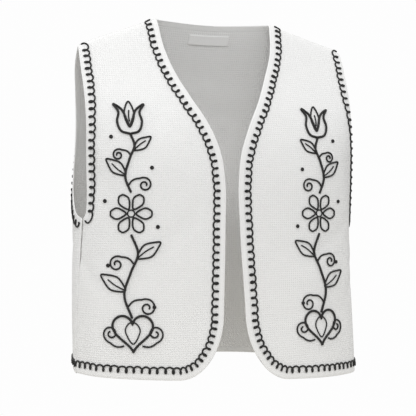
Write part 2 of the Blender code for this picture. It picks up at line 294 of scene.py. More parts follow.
    def slopes(self, face: Face, places: Array) -> tuple[Array, Array]:
        """How the form's point moves with turn and with height, at places on it.

        Args:
            face: front or back.
            places: (turn, z) places.

        Returns:
            The two rates, in metres for each turn and each metre of height.
        """
        turn, z = places[..., 0], places[..., 1]
        by_turn = self.point(face, turn + TURN_STEP, z) - self.point(face, turn - TURN_STEP, z)
        by_height = self.point(face, turn, z + HEIGHT_STEP) - self.point(face, turn, z - HEIGHT_STEP)
        return by_turn / (2 * TURN_STEP), by_height / (2 * HEIGHT_STEP)

    def outward(self, face: Face, places: Array) -> Array:
        """Finds the cloth's outward directions. At a shoulder seam they have no share along Y.

        Args:
            face: front or back.
            places: (turn, z) places.

        Returns:
            One unit vector for each place.
        """
        turn, z = places[..., 0], places[..., 1]
        below = self.shoulder_height(self.point(face, turn, z)[..., 0]) - z
        at_shoulder = below < 4 * HEIGHT_STEP
        eased = np.stack([turn, np.where(at_shoulder, z - 4 * HEIGHT_STEP, z)], axis=-1)
        by_turn, by_height = self.slopes(face, eased)
        directions = unit(np.cross(by_turn, by_height) * -int(face))
        square_up = unit(directions * np.array([1.0, 0.0, 1.0]))
        return np.where(at_shoulder[..., None], square_up, directions)

    def fold_lift(self, face: Face, places: Array) -> Array:
        """How far folds and creases push the cloth out at places on one face.

        Args:
            face: front or back.
            places: (turn, z) places.

        Returns:
            The lifts, in metres.
        """
        across, z = places[..., 0] * self.quarter_girth, places[..., 1]
        lift = np.zeros_like(z)
        for crease in self.main_folds + self.fine_creases:
            if crease.face != face:
                continue
            start = np.array([crease.turn_a * self.quarter_girth, crease.z_a])
            run = np.array([crease.turn_b * self.quarter_girth, crease.z_b]) - start
            length = math.hypot(*run)
            along = ((across - start[0]) * run[0] + (z - start[1]) * run[1]) / length
            aside = ((across - start[0]) * run[1] - (z - start[1]) * run[0]) / length
            past = np.maximum(np.maximum(-along, along - length), 0.0)
            lift = lift + crease.depth * np.exp(-((aside / crease.width) ** 2) - (past / self.crease_fade) ** 2)
        return lift

    def cloth_point(self, face: Face, places: Array, above: Array | float = 0.0) -> Array:
        """Points `above` the cloth's outer side at places on the folded form."""
        lift = self.fold_lift(face, places) + above
        return self.point(face, places[..., 0], places[..., 1]) + self.outward(face, places) * lift[..., None]

    @cached_property
    def girth_table(self) -> tuple[Array, Array, dict[Face, Array]]:
        """Turns, heights, and for each face the length round the form from the centre line.

        Returns:
            The turns, the heights, and the table of each face.
        """
        turns = np.linspace(0.0, 1.4, 281)
        heights = np.linspace(-0.545, 0.0, 110)
        tables = {}
        for face in Face:
            grid = self.point(face, turns[None, :], np.repeat(heights[:, None], len(turns), axis=1))
            steps = np.linalg.norm(np.diff(grid, axis=1), axis=2)
            tables[face] = np.concatenate([np.zeros((len(heights), 1)), np.cumsum(steps, axis=1)], axis=1)
        return turns, heights, tables

    def across(self, face: Face, places: Array) -> Array:
        """Length round the form from the centre line to each place, with the sign of its side.

        Args:
            face: front or back.
            places: (turn, z) places.

        Returns:
            The lengths, in metres.
        """
        turns, heights, tables = self.girth_table
        table = tables[face]
        row = np.clip((places[..., 1] - heights[0]) / (heights[1] - heights[0]), 0, len(heights) - 1.001)
        column = np.clip(np.abs(places[..., 0]) / (turns[1] - turns[0]), 0, len(turns) - 1.001)
        r, c = row.astype(int), column.astype(int)
        fr, fc = row - r, column - c
        low = table[r, c] * (1 - fc) + table[r, c + 1] * fc
        high = table[r + 1, c] * (1 - fc) + table[r + 1, c + 1] * fc
        return np.sign(places[..., 0]) * (low * (1 - fr) + high * fr)

    def place_of(self, face: Face, across: Array, z: Array) -> Array:
        """The places that lie a given length round the form from the centre line, at given heights.

        Args:
            face: front or back.
            across: lengths round the form, with the sign of their side.
            z: the heights.

        Returns:
            (turn, z) rows.
        """
        turns, heights, tables = self.girth_table
        found = [
            np.interp(abs(a), tables[face][int(np.argmin(np.abs(heights - height)))], turns) * np.sign(a)
            for a, height in zip(across, z)
        ]
        return np.stack([np.array(found), z], axis=-1)


@dataclass(frozen=True)
class VestCut:
    """The outlines of the three panels, and the grids of places that fill them."""

    form: TorsoForm
    front_edges: tuple[EdgeLevel, ...] = (
        EdgeLevel(-0.530, 0.0180, 0.0200),
        EdgeLevel(-0.420, 0.0145, 0.0165),
        EdgeLevel(-0.300, 0.0110, 0.0095),
        EdgeLevel(-0.240, 0.0105, 0.0085),
        EdgeLevel(-0.200, 0.0155, 0.0135),
        EdgeLevel(-0.160, 0.0300, 0.0280),
        EdgeLevel(-0.120, 0.0520, 0.0480),
        EdgeLevel(-0.090, 0.0670, 0.0610),
        EdgeLevel(-0.050, 0.0800, 0.0770),
        EdgeLevel(0.000, 0.0860, 0.0860),
    )
    armholes: tuple[ArmholeLevel, ...] = (
        ArmholeLevel(0.000, 0.770, 1.230, 1.030, 0.970),
        ArmholeLevel(0.018, 0.742, 1.140, 0.960, 0.925),
        ArmholeLevel(0.055, 0.727, 1.035, 0.920, 0.885),
        ArmholeLevel(0.100, 0.719, 0.960, 0.895, 0.857),
        ArmholeLevel(0.200, 0.708, 0.850, 0.850, 0.807),
        ArmholeLevel(0.350, 0.697, 0.755, 0.795, 0.750),
        ArmholeLevel(0.560, 0.685, 0.700, 0.735, 0.700),
        ArmholeLevel(0.770, 0.695, 0.730, 0.715, 0.730),
        ArmholeLevel(0.920, 0.722, 0.790, 0.735, 0.780),
        ArmholeLevel(1.000, 0.735, 0.790, 0.745, 0.780),
    )
    hem_centre: float = -0.5100
    hem_tilt: float = -0.0350
    back_hem_lift: float = 0.0090
    back_neck_drop: float = 0.0020
    corner_width: float = 0.0610
    corner_height: float = 0.0850
    underarm_left: float = -0.2885
    underarm_right: float = -0.2925
    seam_turn_left: float = 0.910
    seam_turn_right: float = 1.000
    seam_gap: float = 0.0003
    top_crowding: float = 1.5
    edge_steps: int = 900

    def hem_height(self, face: Face, turn: Array | float, x: Array | float) -> Array:
        """Height of the hem, which tilts a little across the vest and rises at the back."""
        lift = self.back_hem_lift * np.cos(np.asarray(turn) * math.pi / 2) if face == Face.BACK else 0.0
        return self.hem_centre + self.hem_tilt * x + lift

    def outer_edge(self, face: Face, side: Side) -> Array:
        """Walks the side seam and armhole of one side from the hem to the shoulder tip.

        Args:
            face: front or back.
            side: left or right.

        Returns:
            (turn, z) rows.
        """
        form, steps = self.form, self.edge_steps
        column = side.word + ("_front" if face == Face.FRONT else "_back")
        at_hem = self.seam_turn_left if side == Side.LEFT else self.seam_turn_right
        underarm = self.underarm_left if side == Side.LEFT else self.underarm_right
        turn_low = at_hem if face == Face.FRONT else 2 - at_hem
        turn_seam = side * np.linspace(turn_low, getattr(self.armholes[0], column), steps)
        x_hem = form.point(face, turn_seam[0], self.hem_centre)[0]
        z_seam = np.linspace(self.hem_height(face, turn_seam[0], x_hem), underarm, steps)
        ahead = form.point(face, turn_seam + TURN_STEP, z_seam)
        stretch = np.linalg.norm(ahead - form.point(face, turn_seam, z_seam), axis=1) / TURN_STEP
        seam = np.stack([turn_seam - side * self.seam_gap / 2 / stretch, z_seam], axis=-1)
        tip_x = side * form.tip_half_width
        tip_z = float(form.shoulder_height(tip_x))
        rise = np.linspace(0.0, 1.0, steps) ** 2
        turn_arm = side * smooth_column(self.armholes, "rise", rise, column)
        start_shift = seam[-1, 0] - turn_arm[0]
        end_shift = float(form.turn_at(tip_x, tip_z)) - turn_arm[-1]
        turn_arm = turn_arm + start_shift * (1 - rise) ** 8 + end_shift * rise**4
        armhole = np.stack([turn_arm, underarm + rise * (tip_z - underarm)], axis=-1)
        return np.concatenate([seam, armhole[1:]])

    def shoulder_edge(self, side: Side) -> Array:
        """(turn, z) rows of one shoulder seam from the neck point to the tip.

        Args:
            side: left or right.

        Returns:
            The rows.
        """
        form = self.form
        x = side * np.linspace(form.neck_half_width, form.tip_half_width, self.edge_steps)
        z = form.shoulder_height(x) - (self.seam_gap / 2) ** 2 / (2 * form.ridge_radius)
        return np.stack([form.turn_at(x, z), z], axis=-1)

    def front_edge(self, side: Side) -> Array:
        """(turn, z) rows of one front edge and neckline from the hem to the neck point.

        Args:
            side: left or right.

        Returns:
            The rows.
        """
        low = float(self.hem_height(Face.FRONT, 0.0, side * self.front_edges[0].left))
        z = np.linspace(low, float(self.shoulder_edge(side)[0, 1]), self.edge_steps)
        x = side * smooth_column(self.front_edges, "z", z, side.word)
        return np.stack([self.form.turn_at(x, z), z], axis=-1)

    def hem_edge(self, face: Face, turn_from: float, turn_to: float) -> Array:
        """(turn, z) rows of the hem of one face between two turns.

        Args:
            face: front or back.
            turn_from: the first turn.
            turn_to: the last turn.

        Returns:
            The rows.
        """
        turn = np.linspace(turn_from, turn_to, self.edge_steps)
        x = self.form.point(face, turn, np.full_like(turn, self.hem_centre))[:, 0]
        return np.stack([turn, self.hem_height(face, turn, x)], axis=-1)

    def spaced(self, face: Face, edge: Array, shares: Array) -> Array:
        """Places of an edge at the given shares of its length.

        Args:
            face: front or back.
            edge: (turn, z) rows of the edge.
            shares: shares of its length, from 0 to 1.

        Returns:
            (turn, z) rows.
        """
        length = lengths_along(self.form.point(face, edge[:, 0], edge[:, 1]))
        at = shares * length[-1]
        return np.stack([np.interp(at, length, edge[:, 0]), np.interp(at, length, edge[:, 1])], axis=-1)

    def filled(self, bottom: Array, top: Array, start: Array, end: Array, across: Array, up: Array) -> Array:
        """Fills four edges with a grid.

        Args:
            bottom: places of the hem edge.
            top: places of the shoulder or neck edge.
            start: places of the first side.
            end: places of the last side.
            across: shares across.
            up: shares upwards.

        Returns:
            The grid, rows upwards and columns across.
        """
        start[0], end[0], start[-1], end[-1] = bottom[0], bottom[-1], top[0], top[-1]
        s, t = across[None, :, None], up[:, None, None]
        ruled = (1 - t) * bottom[None] + t * top[None] + (1 - s) * start[:, None] + s * end[:, None]
        corners = (1 - s) * (1 - t) * start[0] + s * (1 - t) * end[0] + (1 - s) * t * start[-1] + s * t * end[-1]
        return ruled - corners

    def round_corner(self, side: Side, grid: Array) -> Array:
        """Draws the square lower front corner of a front's grid in to an elliptical one.

        Args:
            side: the front's side.
            grid: its grid with a square corner.

        Returns:
            The grid with the round corner.
        """
        form = self.form
        turn, z = grid[..., 0], grid[..., 1]
        x = form.point(Face.FRONT, turn, z)[..., 0]
        edge = smooth_column(self.front_edges, "z", z, side.word)
        hem = self.hem_height(Face.FRONT, turn, x)
        inward = np.clip(1 - (side * x - edge) / self.corner_width, 0.0, 1.0)
        downward = np.clip(1 - (z - hem) / self.corner_height, 0.0, 1.0)
        x = x + side * self.corner_width * inward * (1 - np.sqrt(1 - downward**2 / 2))
        z = z + self.corner_height * downward * (1 - np.sqrt(1 - inward**2 / 2))
        near = (inward > 0) & (downward > 0)
        return np.stack([np.where(near, form.turn_at(x, z), turn), z], axis=-1)

    def front_grid(self, side: Side, columns: int, rows: int) -> Array:
        """The grid of one front, columns from the front edge to the side.

        Args:
            side: left or right.
            columns: cells across.
            rows: cells upwards.

        Returns:
            The grid of places.
        """
        across = np.linspace(0.0, 1.0, columns + 1)
        up = 1 - (1 - np.linspace(0.0, 1.0, rows + 1)) ** self.top_crowding
        inner = self.spaced(Face.FRONT, self.front_edge(side), up)
        outer = self.spaced(Face.FRONT, self.outer_edge(Face.FRONT, side), up)
        bottom = self.spaced(Face.FRONT, self.hem_edge(Face.FRONT, inner[0, 0], outer[0, 0]), across)
        top = self.spaced(Face.FRONT, self.shoulder_edge(side), across)
        return self.round_corner(side, self.filled(bottom, top, inner, outer, across, up))

    def back_grid(self, columns: int, rows: int) -> Array:
        """The grid of the back, columns from the left side to the right.

        Args:
            columns: cells across.
            rows: cells upwards.

        Returns:
            The grid of places.
        """
        form = self.form
        across = np.linspace(0.0, 1.0, columns + 1)
        up = 1 - (1 - np.linspace(0.0, 1.0, rows + 1)) ** self.top_crowding
        left = self.spaced(Face.BACK, self.outer_edge(Face.BACK, Side.LEFT), up)
        right = self.spaced(Face.BACK, self.outer_edge(Face.BACK, Side.RIGHT), up)
        bottom = self.spaced(Face.BACK, self.hem_edge(Face.BACK, left[0, 0], right[0, 0]), across)
        top = self.spaced(Face.BACK, self.back_top(), across)
        return self.filled(bottom, top, left, right, across, up)

    def back_neck(self) -> Array:
        """(turn, z) rows of the back neck edge from left to right.

        Returns:
            The rows.
        """
        half = self.form.neck_half_width
        x = np.linspace(-half, half, self.edge_steps)
        z = self.shoulder_edge(Side.RIGHT)[0, 1] - self.back_neck_drop * np.cos(x / half * math.pi / 2)
        return np.stack([self.form.turn_at(x, z), z], axis=-1)

    def back_top(self) -> Array:
        """(turn, z) rows of the back's shoulders and neck edge from left to right."""
        neck = self.back_neck()
        left, right = self.shoulder_edge(Side.LEFT), self.shoulder_edge(Side.RIGHT)
        return np.concatenate([left[::-1], neck[1:], right[1:]])


class Nodes:
    """A material's node tree, with short calls to add and join its nodes."""

    def __init__(self, name: str) -> None:
        """Starts a material with one cloth shader.

        Args:
            name: the name of the material.
        """
        self.material = bpy.data.materials.new(name)
        self.material.use_nodes = True
        self.tree = self.material.node_tree
        self.shader = self.tree.nodes["Principled BSDF"]

    def add(self, kind: str, **settings: object) -> bpy.types.Node:
        """One new node with its properties set.

        Args:
            kind: the node's type.
            **settings: its properties.

        Returns:
            The node.
        """
        node = self.tree.nodes.new(kind)
        for key, value in settings.items():
            setattr(node, key, value)
        return node

    def feed(self, node: bpy.types.Node, **sources: object) -> bpy.types.Node:
        """Sets or links a node's inputs.

        Args:
            node: the node.
            **sources: for each input, `i0`, `i1` and so on by number, or its name with underscores: a socket to
                link, or a value.

        Returns:
            The node.
        """
        for key, source in sources.items():
            numbered = key[0] == "i" and key[1:].isdigit()
            socket = node.inputs[int(key[1:])] if numbered else node.inputs[key.replace("_", " ")]
            if isinstance(source, bpy.types.NodeSocket):
                self.tree.links.new(source, socket)
            else:
                socket.default_value = source
        return node

    def math(self, operation: str, first: object, second: object = 0.0) -> bpy.types.NodeSocket:
        """One sum, product or other step of arithmetic."""
        return self.feed(self.add("ShaderNodeMath", operation=operation), i0=first, i1=second).outputs[0]

    def span(self, value: object, low: float, high: float, to_low: float, to_high: float) -> bpy.types.NodeSocket:
        """A value carried smoothly from one range to another.

        Args:
            value: a socket or a number.
            low: start of the first range.
            high: end of the first range.
            to_low: start of the second range.
            to_high: end of the second range.

        Returns:
            The socket.
        """
        node = self.add("ShaderNodeMapRange", interpolation_type="SMOOTHSTEP")
        return self.feed(
            node, Value=value, From_Min=low, From_Max=high, To_Min=to_low, To_Max=to_high
        ).outputs[0]

    def noise(self, vector: object, scale: float, detail: float = 2.0) -> bpy.types.NodeSocket:
        """Soft uneven noise over a vector."""
        return self.feed(self.add("ShaderNodeTexNoise"), Vector=vector, Scale=scale, Detail=detail).outputs[0]

    def mix(self, share: object, first: tuple, second: tuple) -> bpy.types.NodeSocket:
        """Two colours mixed by a share."""
        node = self.add("ShaderNodeMix", data_type="RGBA")
        return self.feed(node, i0=share, i6=(*first, 1.0), i7=(*second, 1.0)).outputs[2]

    def bump(self, height: object, distance: float, strength: float = 1.0) -> None:
        """Raises the shader's surface by a height map."""
        node = self.feed(self.add("ShaderNodeBump"), Height=height, Distance=distance, Strength=strength)
        self.feed(self.shader, Normal=node.outputs[0])


@dataclass(frozen=True)
class PiqueCotton:
    """Matt white cotton with a fine square grid, smooth where its edges are turned."""

    thread: tuple[float, float, float] = (0.815, 0.815, 0.815)
    # painted shade: a darker copy of the white thread, used as the colour of the weave's hollows
    painted_hollow_shade: tuple[float, float, float] = (0.735, 0.735, 0.735)
    grid_pitch: float = 0.0031
    thread_pitch: float = 0.00062
    relief: float = 0.00034
    turned_edge: float = 0.0085
    roughness: float = 0.90

    def make(self) -> bpy.types.Material:
        """Builds the finish from the cloth's own measure, in metres, and its distance from the turned edges.

        Returns:
            The material.
        """
        n = Nodes("white pique cotton")
        measure = n.add("ShaderNodeUVMap", uv_map="weave").outputs[0]
        edge = n.add("ShaderNodeAttribute", attribute_name="edge_distance").outputs["Fac"]
        split = n.feed(n.add("ShaderNodeSeparateXYZ"), i0=measure)
        wander = n.math("MULTIPLY", n.math("SUBTRACT", n.noise(measure, 160.0, 3.0), 0.5), 0.0011)
        u = n.math("ADD", split.outputs[0], wander)
        v = n.math("ADD", split.outputs[1], wander)
        turn = 2 * math.pi / self.grid_pitch
        waves = [n.math("SINE", n.math("MULTIPLY", part, turn)) for part in (u, v)]
        grid = n.math("MAXIMUM", *waves)
        fine = 2 * math.pi / self.thread_pitch
        threads = n.math(
            "MULTIPLY", *[n.math("SINE", n.math("MULTIPLY", part, fine)) for part in (u, v)]
        )
        fibre = n.noise(measure, 2600.0, 4.0)
        woven = n.math("ADD", n.math("MULTIPLY", grid, 0.5), n.math("MULTIPLY", threads, 0.22))
        inside = n.span(edge, self.turned_edge - 0.0012, self.turned_edge + 0.0012, 0.28, 1.0)
        fold = n.span(n.math("ABSOLUTE", n.math("SUBTRACT", edge, self.turned_edge)), 0.0, 0.0011, 1.0, 0.0)
        height = n.math("MULTIPLY", woven, inside)
        height = n.math("ADD", height, n.math("MULTIPLY", fibre, 0.35))
        height = n.math("SUBTRACT", height, n.math("MULTIPLY", fold, 0.7))
        n.bump(height, self.relief)
        # painted shade: the colour darkens where the weave's bump is low, so its hollows are painted darker than its
        # threads
        tone = n.span(woven, -0.6, 0.5, 0.0, 1.0)
        patchy = n.math("MULTIPLY", n.math("SUBTRACT", n.noise(measure, 24.0, 3.0), 0.5), 0.35)
        tone = n.math("ADD", tone, patchy)
        pressed = n.span(edge, 0.004, 0.012, 0.16, 0.0)
        tone = n.math("ADD", n.math("MULTIPLY", tone, inside), pressed)
        # painted shade: a dark line painted along the fold where the turned edge ends, on top of its groove in the
        # bump
        tone = n.math("SUBTRACT", tone, n.math("MULTIPLY", fold, 0.8))
        share = n.feed(n.add("ShaderNodeClamp"), i0=tone).outputs[0]
        n.feed(n.shader, Base_Color=n.mix(share, self.painted_hollow_shade, self.thread))
        n.feed(n.shader, Roughness=n.span(fibre, 0.3, 0.7, self.roughness - 0.05, self.roughness + 0.05))
        n.feed(n.shader, Sheen_Weight=0.10, Sheen_Roughness=0.5, Specular_IOR_Level=0.25)
        return n.material


@dataclass(frozen=True)
class BlackCord:
    """Twisted black cotton cord, slightly silky on its strands."""

    strand: tuple[float, float, float] = (0.0150, 0.0145, 0.0140)
    # painted shade: the darker colour of the hollows between the cord's plies
    painted_groove_shade: tuple[float, float, float] = (0.0035, 0.0034, 0.0034)
    twist_pitch: float = 0.0019
    relief: float = 0.00030

    def make(self) -> bpy.types.Material:
        """Builds the finish from the cord's own measure: metres along it, and turns round it.

        Returns:
            The material.
        """
        n = Nodes("twisted black cord")
        split = n.feed(n.add("ShaderNodeSeparateXYZ"), i0=n.add("ShaderNodeUVMap", uv_map="cord").outputs[0])
        along = n.math("MULTIPLY", split.outputs[0], 2 * math.pi / self.twist_pitch)
        lay = n.math("ADD", along, n.math("MULTIPLY", split.outputs[1], 4 * math.pi))
        ply = n.math("ABSOLUTE", n.math("SINE", n.math("MULTIPLY", lay, 0.5)))
        fibre = n.noise(n.add("ShaderNodeTexCoord").outputs["Object"], 3000.0, 3.0)
        n.bump(n.math("ADD", ply, n.math("MULTIPLY", fibre, 0.3)), self.relief)
        # painted shade: the cord is painted darker in the grooves of its twist, where the bump is low
        n.feed(n.shader, Base_Color=n.mix(ply, self.painted_groove_shade, self.strand))
        n.feed(n.shader, Roughness=n.span(fibre, 0.3, 0.7, 0.50, 0.68))
        n.feed(n.shader, Sheen_Weight=0.05, Specular_IOR_Level=0.35)
        return n.material


@dataclass(frozen=True)
class WhiteThread:
    """White sewing thread."""

    light: tuple[float, float, float] = (0.82, 0.82, 0.81)
    dark: tuple[float, float, float] = (0.66, 0.66, 0.65)

    def make(self) -> bpy.types.Material:
        """Builds the finish with fine twist shading.

        Returns:
            The material.
        """
        n = Nodes("white sewing thread")
        fibre = n.noise(n.add("ShaderNodeTexCoord").outputs["Object"], 2400.0, 3.0)
        n.feed(n.shader, Base_Color=n.mix(fibre, self.dark, self.light))
        n.feed(n.shader, Roughness=0.62, Sheen_Weight=0.1)
        n.bump(fibre, 0.0001)
        return n.material


@dataclass(frozen=True)
class LabelTape:
    """Blank white woven label tape: close crosswise ribs with a slight sheen."""

    light: tuple[float, float, float] = (0.90, 0.90, 0.90)
    dark: tuple[float, float, float] = (0.80, 0.80, 0.80)
    rib_pitch: float = 0.00075
    relief: float = 0.00012

    def make(self) -> bpy.types.Material:
        """Builds the finish from the tape's own measure in metres.

        Returns:
            The material.
        """
        n = Nodes("white label tape")
        measure = n.add("ShaderNodeUVMap", uv_map="weave").outputs[0]
        split = n.feed(n.add("ShaderNodeSeparateXYZ"), i0=measure)
        turn = 2 * math.pi / self.rib_pitch
        rib = n.math("SINE", n.math("MULTIPLY", split.outputs[1], turn))
        cross = n.math("SINE", n.math("MULTIPLY", split.outputs[0], turn * 1.7))
        woven = n.math("ADD", n.math("MULTIPLY", rib, 0.6), n.math("MULTIPLY", cross, 0.25))
        n.bump(woven, self.relief)
        # painted shade: the tape is painted darker in the hollows between its ribs, where the bump is low, and lighter
        # on the ribs
        n.feed(n.shader, Base_Color=n.mix(n.span(woven, -0.6, 0.6, 0.0, 1.0), self.dark, self.light))
        n.feed(n.shader, Roughness=n.span(woven, -0.6, 0.6, 0.58, 0.46), Sheen_Weight=0.15)
        return n.material


@dataclass(frozen=True)
class PaleFloor:
    """A plain matt white floor."""

    colour: tuple[float, float, float] = (0.540, 0.515, 0.460)

    def make(self) -> bpy.types.Material:
        """Builds the floor's finish.

        Returns:
            The material.
        """
        n = Nodes("pale studio floor")
        faint = n.noise(n.add("ShaderNodeTexCoord").outputs["Object"], 3.0)
        n.feed(n.shader, Base_Color=n.mix(faint, self.colour, (0.560, 0.535, 0.480)), Roughness=0.9)
        return n.material


@dataclass
class Mesher:
    """Gathers points, faces and face-corner measures for one mesh."""

    points: list[Array] = field(default_factory=list)
    faces: list[tuple[int, ...]] = field(default_factory=list)
    measures: list[Array] = field(default_factory=list)
    count: int = 0

    def extend(self, points: Array, faces: list[tuple[int, ...]], measures: Array) -> None:
        """Adds points with their measures, and faces numbered within them.

        Args:
            points: the points.
            faces: the faces, numbered from the first of these points.
            measures: the UV place of each point.
        """
        self.points.append(points)
        self.measures.append(measures)
        self.faces.extend(tuple(i + self.count for i in face) for face in faces)
        self.count += len(points)

    def piece(self, name: str, finish: bpy.types.Material, uv_name: str) -> bpy.types.Object:
        """Makes the object.

        Args:
            name: the piece's name.
            finish: its material.
            uv_name: the name of its UV map.

        Returns:
            The object, linked to the scene and smooth.
        """
        mesh = bpy.data.meshes.new(name)
        mesh.from_pydata(np.concatenate(self.points).tolist(), [], self.faces)
        corner_points = np.zeros(len(mesh.loops), dtype=np.int32)
        mesh.loops.foreach_get("vertex_index", corner_points)
        layer = mesh.uv_layers.new(name=uv_name)
        layer.data.foreach_set("uv", np.concatenate(self.measures)[corner_points].ravel())
        mesh.materials.append(finish)
        mesh.shade_smooth()
        mesh.update()
        made = bpy.data.objects.new(name, mesh)
        bpy.context.scene.collection.objects.link(made)
        return made


@dataclass
class ClothShell:
    """A thin wall of cloth over a grid of places, with softly rounded edges."""

    form: TorsoForm
    face: Face
    grid: Array
    thickness: float = 0.0018
    lift: float = 0.0
    rim_steps: int = 3

    def rim(self) -> NDArray[np.int64]:
        """Numbers of the grid's edge points, in order round it.

        Returns:
            The numbers.
        """
        rows, columns = self.grid.shape[:2]
        loop = list(range(columns))
        loop += [row * columns + columns - 1 for row in range(1, rows)]
        loop += [(rows - 1) * columns + column for column in range(columns - 2, -1, -1)]
        loop += [row * columns for row in range(rows - 2, 0, -1)]
        return np.array(loop)

    def mesh(self, name: str, finish: bpy.types.Material, open_edges: Array | None) -> bpy.types.Object:
        """Builds the wall.

        Args:
            name: the piece's name.
            finish: its material.
            open_edges: points along the turned edges, or None for a piece without them.

        Returns:
            The cloth object, with its weave measured in metres.
        """
        form, face, grid = self.form, self.face, self.grid
        rows, columns = grid.shape[:2]
        half = self.thickness / 2
        normals = form.outward(face, grid).reshape(-1, 3)
        middle = form.cloth_point(face, grid, self.lift - half).reshape(-1, 3)
        rim = self.rim()
        ahead = unit(middle[np.roll(rim, -1)] - middle[np.roll(rim, 1)])
        row, column = np.divmod(rim, columns)
        inner = np.clip(row, 1, rows - 2) * columns + np.clip(column, 1, columns - 2)
        inward = middle[inner] - middle[rim]
        inward -= ahead * np.sum(inward * ahead, axis=1, keepdims=True)
        inward -= normals[rim] * np.sum(inward * normals[rim], axis=1, keepdims=True)
        inward = unit(inward)
        centre = middle.copy()
        centre[rim] += inward * half
        points = [centre + normals * half, centre - normals * half]
        for step in range(1, self.rim_steps + 1):
            angle = math.pi * step / (self.rim_steps + 1)
            points.append(centre[rim] + half * (normals[rim] * math.cos(angle) - inward * math.sin(angle)))
        measure = np.stack([form.across(face, grid), grid[..., 1]], axis=-1).reshape(-1, 2)
        measures = [measure, measure] + [measure[rim]] * self.rim_steps
        count = rows * columns
        faces: list[tuple[int, ...]] = []
        for r in range(rows - 1):
            for c in range(columns - 1):
                a = r * columns + c
                quad = (a, a + 1, a + 1 + columns, a + columns)
                faces.append(quad)
                faces.append(tuple(i + count for i in quad[::-1]))
        rings = [rim] + [2 * count + k * len(rim) + np.arange(len(rim)) for k in range(self.rim_steps)]
        rings.append(rim + count)
        for upper, lower in zip(rings, rings[1:]):
            for i in range(len(rim)):
                j = (i + 1) % len(rim)
                faces.append((int(upper[j]), int(upper[i]), int(lower[i]), int(lower[j])))
        first = faces[0]
        flat = points[0]
        towards = np.cross(flat[first[1]] - flat[first[0]], flat[first[3]] - flat[first[0]])
        if float(towards @ normals[first[0]]) < 0:
            faces = [quad[::-1] for quad in faces]
        mesher = Mesher()
        mesher.extend(np.concatenate(points), faces, np.concatenate(measures))
        made = mesher.piece(name, finish, "weave")
        if open_edges is not None:
            everywhere = np.concatenate(points)
            nearest = np.concatenate(
                [
                    np.sqrt(((block[:, None] - open_edges[None]) ** 2).sum(axis=2).min(axis=1))
                    for block in np.array_split(everywhere, 40)
                ]
            )
            layer = made.data.attributes.new("edge_distance", "FLOAT", "POINT")
            layer.data.foreach_set("value", nearest.astype(np.float32))
        return made


@dataclass
class CordLayer:
    """Lays round cords and short stitches on the cloth as one mesh."""

    sides: int = 7
    mesher: Mesher = field(default_factory=Mesher)
    length: float = 0.0

    def lay(self, points: Array, normals: Array, radius: float, closed: bool = False) -> None:
        """Sweeps one round cord.

        Args:
            points: its centre line.
            normals: the cloth's outward direction at each point.
            radius: its radius.
            closed: whether it joins its own start.
        """
        if len(points) < 3:
            return
        if closed:
            ahead = unit(np.roll(points, -1, axis=0) - np.roll(points, 1, axis=0))
        else:
            ahead = unit(np.gradient(points, axis=0))
        beside = unit(np.cross(normals, ahead))
        above = unit(np.cross(ahead, beside))
        angles = np.arange(self.sides) * 2 * math.pi / self.sides
        radii = np.full(len(points), radius)
        if not closed:
            radii[0] = radii[-1] = radius * 0.35
        ring = beside[:, None] * np.cos(angles)[None, :, None] + above[:, None] * np.sin(angles)[None, :, None]
        tube = points[:, None] + ring * radii[:, None, None]
        walked = lengths_along(points)
        self.length += float(walked[-1])
        measure = np.stack(
            [np.repeat(walked[:, None], self.sides, axis=1), np.repeat(angles[None] / (2 * math.pi), len(points), axis=0)],
            axis=-1,
        )
        rows = len(points) if closed else len(points) - 1
        faces: list[tuple[int, ...]] = []
        for i in range(rows):
            here, there = i * self.sides, ((i + 1) % len(points)) * self.sides
            for k in range(self.sides):
                m = (k + 1) % self.sides
                faces.append((here + k, here + m, there + m, there + k))
        if not closed:
            faces.append(tuple(range(self.sides - 1, -1, -1)))
            last = (len(points) - 1) * self.sides
            faces.append(tuple(last + k for k in range(self.sides)))
        self.mesher.extend(tube.reshape(-1, 3), faces, measure.reshape(-1, 2))

    def piece(self, name: str, finish: bpy.types.Material) -> bpy.types.Object:
        """The laid cords as one object."""
        return self.mesher.piece(name, finish, "cord")


